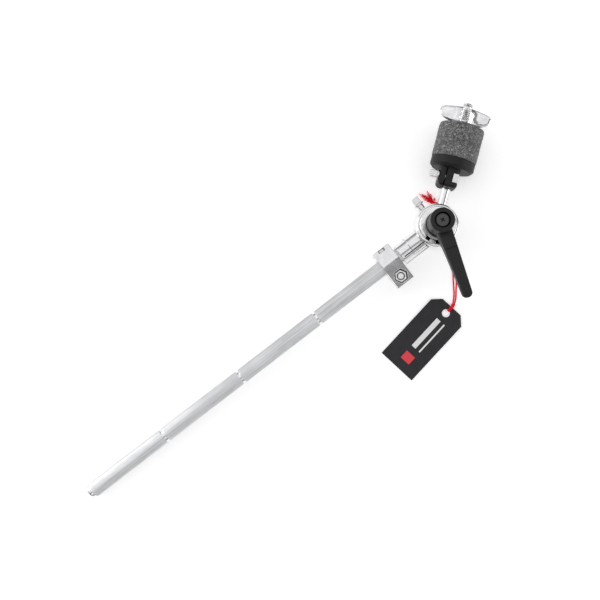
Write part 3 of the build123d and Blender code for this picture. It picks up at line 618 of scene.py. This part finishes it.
def add_knot():
    """Overhand knot, drawn tight: a trefoil."""
    steps, spread, rise, yarn_r = 72, 0.46, 0.85, 0.62
    low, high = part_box("cord_knot")
    middle = (low + high) / 2
    loop = []
    for k in range(steps):
        t = 2 * math.pi * k / steps
        x = math.sin(t) + 2 * math.sin(2 * t)
        y = math.cos(t) - 2 * math.cos(2 * t)
        loop.append(middle + Vector((x * spread, y * spread, -math.sin(3 * t) * rise)) * MM)
    bm = bmesh.new()
    add_tube(bm, loop, yarn_r * MM, 10, closed=True)
    knot = finish_mesh("loop_knot", bm, [FINISHES["red_cord"]])
    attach(knot, "boom_arm")
    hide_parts("cord_knot")
    return knot


def add_tuft():
    """Frayed ends: filaments that run along a short stem and fan out into wisps."""
    rng = random.Random(7)
    fluff, fluff_r, lowest = 60, 0.16, 0.3
    bm = bmesh.new()
    stem = [Vector((157.9, 3.0, 1.9)), Vector((155.8, 7.4, 2.3)), Vector((152.8, 12.0, 2.2))]
    wisps = [((148.4, 24.6), 13), ((151.0, 22.4), 17), ((155.8, 22.2), 19), ((156.6, 18.2), 15),
             ((149.6, 18.0), 14), ((157.6, 13.4), 12)]
    for (x, y), count in wisps:
        for _ in range(count):
            reach = rng.uniform(0.55, 1.05)
            tip = stem[2].lerp(Vector((x, y, rng.uniform(0.4, 4.0))), reach)
            tip += Vector((rng.gauss(0, 0.7), rng.gauss(0, 0.6), 0))
            path = [p + Vector((rng.gauss(0, 0.45), rng.gauss(0, 0.45), rng.gauss(0, 0.3)))
                    for p in stem]
            curl = Vector((rng.gauss(0, 0.9), rng.gauss(0, 0.9), rng.uniform(0.0, 1.2)))
            path += [path[-1].lerp(tip, 0.5) + curl, tip]
            path = [Vector((p.x, p.y, max(p.z, lowest))) * MM for p in path]
            add_tube(bm, smooth_path(path, 5), rng.uniform(0.18, 0.30) * MM, 6, taper=0.5)
    for _ in range(fluff):
        base = stem[0].lerp(stem[2], rng.random())
        tip = base + Vector((rng.gauss(0, 1.6), rng.gauss(0.6, 1.6), rng.uniform(0.0, 1.6)))
        path = [Vector((p.x, p.y, max(p.z, lowest))) * MM
                for p in (base, base.lerp(tip, 0.5), tip)]
        add_tube(bm, smooth_path(path, 4), fluff_r * MM, 5, taper=0.5)
    lead = [Vector((150.1, 6.6, 1.7)), Vector((151.6, 8.6, 1.9)), Vector((155.0, 9.2, 2.1)),
            stem[1]]
    add_tube(bm, smooth_path([p * MM for p in lead]), 0.6 * MM, 10)
    tuft = finish_mesh("frayed_ends", bm, [FINISHES["red_cord"]])
    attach(tuft, "boom_arm")
    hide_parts("cord_tuft")
    return tuft


right_strand, right_path, right_length = add_strand("right_strand", RIGHT_STRAND)
left_strand, left_path, left_length = add_strand("left_strand", LEFT_STRAND)
hitch, knot, tuft = add_hitch(), add_knot(), add_tuft()
for strand, node in ((right_strand, "tag_cord_right"), (left_strand, "tag_cord_left")):
    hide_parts(node)


# ----------------------------------------------------------------- boom rod
KNURLED, POLISHED = 0, 1


def rod_stations(tip_r, depth):
    """Sections of the rod as (place, radius, depth of the knurl, slot of the surface after it)."""
    groove_r, nose_r, core_r = 6.3, 6.2, 0.4
    nose_x, knurl_x, inner_x, nose_round = -372.0, -367.3, -20.0, 3.6
    pitch, width, bevel = 81.5, 2.6, 0.3

    def knurled(start, end):
        return [(x, tip_r, depth, KNURLED) for x in (start + 0.35, start + 0.7, end - 0.3, end)]

    stations = [(nose_x, core_r, 0, POLISHED), (nose_x, 2.0, 0, POLISHED)]
    for k in range(7):
        a = math.radians(15 * k)
        stations.append((nose_x + nose_round * (1 - math.cos(a)),
                         nose_r - nose_round * (1 - math.sin(a)), 0, POLISHED))
    stations += [(knurl_x - 0.2, nose_r, 0, POLISHED), (knurl_x, nose_r, 0, KNURLED)]
    start = knurl_x
    for number in range(1, 4):
        edge = nose_x + number * pitch - width / 2
        stations += knurled(start, edge - bevel)
        stations += [(edge, groove_r, 0, KNURLED),
                     (edge + bevel, groove_r - 0.05, 0, POLISHED),
                     (edge + width - bevel, groove_r - 0.05, 0, KNURLED),
                     (edge + width, groove_r, 0, KNURLED)]
        start = edge + width
    return [*stations, *knurled(start, inner_x), (inner_x, core_r, 0, KNURLED)]


def add_knurled_rod():
    """Rod with real knurl teeth between its polished grooves, and a polished nose."""
    teeth, depth, tip_r = 44, 0.26, 6.5
    stations = rod_stations(tip_r, depth)
    shape = (0.0, 0.55, 1.0, 0.55)
    bm = bmesh.new()
    rings = []
    for x, r, cut, _ in stations:
        ring = []
        for k in range(4 * teeth):
            a = 2 * math.pi * k / (4 * teeth)
            reach = r - cut * (1 - shape[k % 4])
            ring.append(bm.verts.new(on_arm(x, reach * math.cos(a), reach * math.sin(a))))
        rings.append(ring)
    for i, (ring, following) in enumerate(zip(rings, rings[1:])):
        for k in range(4 * teeth):
            face = bm.faces.new((ring[k], ring[k - 1], following[k - 1], following[k]))
            face.material_index = stations[i][3]
    bm.faces.new(rings[0]).material_index = POLISHED
    bm.faces.new(reversed(rings[-1]))
    rod = finish_mesh("knurled_rod", bm, [FINISHES["knurled_steel"], FINISHES["polished_steel"]])
    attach(rod, "boom_arm")
    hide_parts("boom_rod")


add_knurled_rod()


# ------------------------------------------------------------------- felts
FELT_R = 19.25
FELT_BORE = 5.95
FELT_THICKNESS = 14.3
LOWER_FELT_AT = 58.5
UPPER_FELT_AT = 73.1


def felt_outline(base):
    """Crowned section: sides bulge a little between corners that are drawn in."""
    steps, drawn_in, bulge = 20, 0.28, 0.15
    top = base + FELT_THICKNESS
    points = []
    for k in range(steps + 1):
        t = k / steps
        corner = drawn_in * abs(2 * t - 1) ** 14
        points.append((FELT_R - bulge - corner + bulge * math.sin(math.pi * t),
                       base - 0.05 + (FELT_THICKNESS + 0.1) * t))
    upper = [(FELT_R - 1.7, top - 0.08), (FELT_R - 3.5, top), (FELT_R - 6.5, top - 0.05),
             (FELT_BORE + 3.0, top - 0.12), (FELT_BORE + 0.6, top - 0.25)]
    points += upper
    points += [(FELT_BORE, top - 0.8), (FELT_BORE, (base + top) / 2), (FELT_BORE, base + 0.8)]
    points += [(r, base + top - h) for r, h in reversed(upper)]
    return points


def add_hairs(name, body, base, rng):
    """Loose hairs that stand off the side of a felt, each a bent ribbon."""
    hairs, root_r = 2600, FELT_R - 0.25
    bm = bmesh.new()
    for _ in range(hairs):
        a = rng.uniform(0, 2 * math.pi)
        h = base + rng.uniform(0.3, FELT_THICKNESS - 0.3)
        reach = rng.uniform(0.5, 1.9)
        slant = rng.uniform(0, 2 * math.pi)
        along, rise = math.cos(slant) * reach / FELT_R, math.sin(slant) * reach
        lift = rng.uniform(0.05, 0.38)
        wide = rng.uniform(0.03, 0.06)
        lean = wide / FELT_R * math.sin(slant)
        edges = []
        for t in (0.0, 0.5, 1.0):
            angle = a + along * t
            height = min(max(h + rise * t, base - 0.4), base + FELT_THICKNESS + 0.4)
            r = root_r + lift * math.sin(math.pi * (0.2 + 0.6 * t))
            lower = on_seat(r * math.cos(angle), r * math.sin(angle), height - wide)
            upper = on_seat(r * math.cos(angle + lean), r * math.sin(angle + lean), height + wide)
            edges.append((bm.verts.new(lower), bm.verts.new(upper)))
        for (p, q), (s, t) in zip(edges, edges[1:]):
            bm.faces.new((p, s, t, q))
    hair = finish_mesh(name, bm, [FINISHES["felt_hair"]])
    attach(hair, body)


def add_felt(name, node, body, base, seed):
    """Felt washer with an uneven matted surface and loose hairs."""

    def uneven(point, r, h):
        """The point moved in or out, less so near the upper and lower face."""
        if r < FELT_BORE + 1:
            return point
        rough = noise.fractal(point * 0.55 + Vector((seed, 0, 0)), 0.8, 2.1, 4)
        slow = noise.noise(point * 0.12 + Vector((0, seed, 0)))
        outward = Vector((point.x, point.y, 0)).normalized()
        off_middle = abs(h - base - FELT_THICKNESS / 2) / (FELT_THICKNESS / 2)
        side = 1 - max(0.0, off_middle - 0.9) * 8
        return point + outward * (0.16 * rough + 0.20 * slow) * max(side, 0.2)

    bm = bmesh.new()
    add_lathe(bm, felt_outline(base), on_seat, 180, uneven)
    felt = finish_mesh(name, bm, [FINISHES["grey_felt"]])
    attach(felt, body)
    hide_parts(node)
    add_hairs(name + "_hairs", body, base, random.Random(seed))


add_felt("felt_below_seam", "lower_felt", "felt_below", LOWER_FELT_AT, 3)
add_felt("felt_above_seam", "upper_felt", "felt_above", UPPER_FELT_AT, 11)


# ---------------------------------------------------------------- wing nut
WING_BASE = 89.6            # underside of the hub
WING_HEIGHT = 17.7
WING_SPAN = 22.3            # from the middle to a tip
WING_BORE = 4.1


def wing_share(x):
    return min(abs(x) / WING_SPAN, 1.0)


def wing_band(x):
    """Lower and upper edge of the wings at x; they close in a round tip."""
    share = wing_share(x)
    low = WING_BASE + 0.3 + 1.3 * share + 3.2 * share**4
    high = WING_BASE + WING_HEIGHT - 0.2 - 4.6 * share**0.8
    close = (1 - share**14) ** 0.5
    middle = (low + high) / 2
    return middle + (low - middle) * close, middle + (high - middle) * close


def wing_half_depth(x, s):
    """Half the thickness at x and at share s of the height: a blade with a bell of a hub."""
    hub_r, hub_width, blade, skirt, skirt_width = 5.2, 5.6, 1.35, 0.9, 11
    share = wing_share(x)
    depth = (blade + 0.45 * share + (hub_r - blade) * math.exp(-((x / hub_width) ** 2))
             + skirt * math.exp(-((x / skirt_width) ** 2)))
    edge = (1 - abs(2 * s - 1) ** 5) ** (1 / 2.2)
    return depth * edge * (1 - share**14) ** 0.5


def add_wing_nut():
    """Cast wing nut: leaf-shaped wings that flow into a round hub with a bore."""
    columns, rows = 96, 28
    bm = bmesh.new()
    for direction in (1, -1):
        grid = []
        for i in range(columns + 1):
            x = -WING_SPAN * math.cos(math.pi * i / columns)
            low, high = wing_band(x)
            row = []
            for j in range(rows + 1):
                s = (1 - math.cos(math.pi * j / rows)) / 2
                h = low + (high - low) * s
                row.append(bm.verts.new(on_seat(x, direction * wing_half_depth(x, s), h)))
            grid.append(row)
        for i in range(columns):
            for j in range(rows):
                bm.faces.new((grid[i][j], grid[i + 1][j], grid[i + 1][j + 1], grid[i][j + 1]))
    bmesh.ops.remove_doubles(bm, verts=bm.verts, dist=0.00001)
    nut = finish_mesh("cast_wing_nut", bm, [make_wing_chrome()])

    drill = bmesh.new()
    ends = [on_seat(0, 0, WING_BASE - 3), on_seat(0, 0, WING_BASE + WING_HEIGHT + 3)]
    add_tube(drill, ends, WING_BORE * MM, 64)
    cutter = finish_mesh("bore_cutter", drill, [])
    cut = nut.modifiers.new("bore", "BOOLEAN")
    cut.operation = "DIFFERENCE"
    cut.object = cutter
    bpy.context.view_layer.update()
    evaluated = nut.evaluated_get(bpy.context.evaluated_depsgraph_get())
    drilled = bpy.data.meshes.new_from_object(evaluated)
    nut.modifiers.clear()
    nut.data = drilled
    bpy.data.objects.remove(cutter)
    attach(nut, "wing")
    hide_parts("wing_nut")


add_wing_nut()


# ---------------------------------------------------------- floor and light
def add_floor():
    """Plain pale floor that glows a little, so that it stays white under the soft light."""
    bm = bmesh.new()
    bmesh.ops.create_grid(bm, x_segments=1, y_segments=1, size=4.0)
    f = Finish("pale_floor", (0.90, 0.90, 0.90), 0.9, Specular_IOR_Level=0.1,
               Emission_Color=(1.0, 1.0, 1.0, 1), Emission_Strength=0.36)
    floor = finish_mesh("floor", bm, [f.material])


def add_softbox(name, place, size, power):
    """Rectangular light that looks at the middle of the floor."""
    data = bpy.data.lights.new(name, "AREA")
    data.shape = "RECTANGLE"
    data.size, data.size_y = size
    data.energy = power
    light = bpy.data.objects.new(name, data)
    light.matrix_world = (Matrix.Translation(place)
                          @ (-Vector(place)).to_track_quat("-Z", "Y").to_matrix().to_4x4())
    scene.collection.objects.link(light)


def grey_ramp(tree, stops, blue=1.0):
    """Ramp of greys through (position, level) stops, the first at 0 and the last at 1."""
    ramp = tree.nodes.new("ShaderNodeValToRGB")
    elements = ramp.color_ramp.elements
    for at, _ in stops[1:-1]:
        elements.new(at)
    for element, (_, level) in zip(elements, stops):
        element.color = (level, level, level * blue, 1)
    return ramp


def add_world():
    """Studio by direction: bright ceiling, dark band above the horizon, drifts and a dark strip."""
    by_height = [(0.0, 0.50), (0.10, 0.42), (0.20, 0.24), (0.34, 0.28), (0.46, 0.72),
                 (0.70, 0.95), (1.0, 1.0)]
    by_depth = [(0.0, 1.0), (0.56, 1.0), (0.64, 0.30), (0.84, 0.30), (0.92, 1.0), (1.0, 1.0)]
    drift_range = (0.38, 0.62, 0.80, 1.10)
    world = bpy.data.worlds.new("studio")
    world.use_nodes = True
    tree = world.node_tree
    way = tree.nodes.new("ShaderNodeTexCoord")
    split = tree.nodes.new("ShaderNodeSeparateXYZ")
    sky = grey_ramp(tree, by_height, blue=1.01)
    strip = grey_ramp(tree, by_depth)
    drift = tree.nodes.new("ShaderNodeTexNoise")
    share = tree.nodes.new("ShaderNodeMapRange")
    shifted = tree.nodes.new("ShaderNodeMath")
    strength = tree.nodes.new("ShaderNodeMath")
    background = tree.nodes["Background"]
    drift.inputs["Scale"].default_value = 3.2
    drift.inputs["Detail"].default_value = 1.0
    for socket, value in zip(share.inputs[1:5], drift_range):
        socket.default_value = value
    shifted.inputs[1].default_value = 1.0
    strength.operation = "MULTIPLY"
    for output, socket in (
        (way.outputs["Generated"], split.inputs[0]),
        (way.outputs["Generated"], drift.inputs["Vector"]),
        (drift.outputs["Fac"], share.inputs[0]),
        (split.outputs[2], sky.inputs[0]),
        (split.outputs[1], shifted.inputs[0]),
        (shifted.outputs[0], strip.inputs[0]),
        (strip.outputs[0], strength.inputs[0]),
        (share.outputs[0], strength.inputs[1]),
        (sky.outputs[0], background.inputs["Color"]),
        (strength.outputs[0], background.inputs["Strength"]),
    ):
        tree.links.new(output, socket)
    scene.world = world


add_floor()
add_softbox("key", (-1.5, 1.8, 1.0), (1.8, 1.0), 20.0)
add_softbox("fill", (1.5, -1.7, 1.0), (1.6, 0.9), 12.0)
add_world()
scene.view_settings.view_transform = "Standard"
